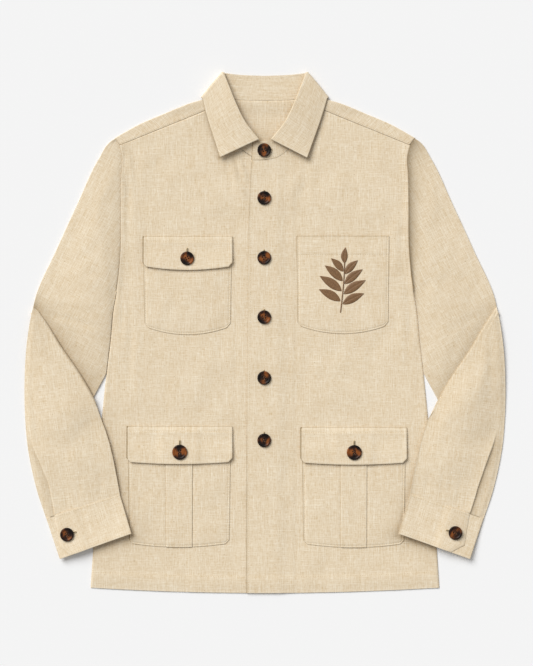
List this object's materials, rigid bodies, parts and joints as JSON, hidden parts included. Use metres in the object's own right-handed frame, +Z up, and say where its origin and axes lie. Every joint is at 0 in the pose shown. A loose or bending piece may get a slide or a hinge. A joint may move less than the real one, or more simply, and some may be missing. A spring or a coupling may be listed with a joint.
{
  "type": "shirt jacket",
  "caption": "Natural linen shirt jacket laid flat, buttoned, with patch pockets, flaps and forearms folded back over the sleeves.",
  "frame": {"origin": "on the surface it lies on, under the middle of its bounding box", "axes": "+Z up from the surface, out of the front of the jacket; +Y from hem to collar; +X to the viewer's right, the wearer's left"},
  "size_m": [0.723, 0.7811, 0.0104],
  "materials": {
    "cloth": "plain-woven slubbed linen",
    "horn": "polished mottled horn"
  },
  "bodies": {
    "root": {"back": "cloth", "yoke": "cloth", "front_right": "cloth", "front_left": "cloth", "collar_stand": "cloth", "collar_leaf": "cloth", "sleeve_right": "cloth", "sleeve_left": "cloth", "cuff_right": "cloth", "cuff_left": "cloth", "chest_pocket_right": "cloth", "chest_pocket_left": "cloth", "chest_flap": "cloth", "hip_pocket_right": "cloth", "hip_pocket_left": "cloth", "hip_flap_right": "cloth", "hip_flap_left": "cloth", "button_front_1": "horn", "button_front_2": "horn", "button_front_3": "horn", "button_front_4": "horn", "button_front_5": "horn", "button_front_6": "horn", "button_chest": "horn", "button_hip_right": "horn", "button_hip_left": "horn", "button_cuff_right": "horn", "button_cuff_left": "horn"}
  },
  "joints": []
}
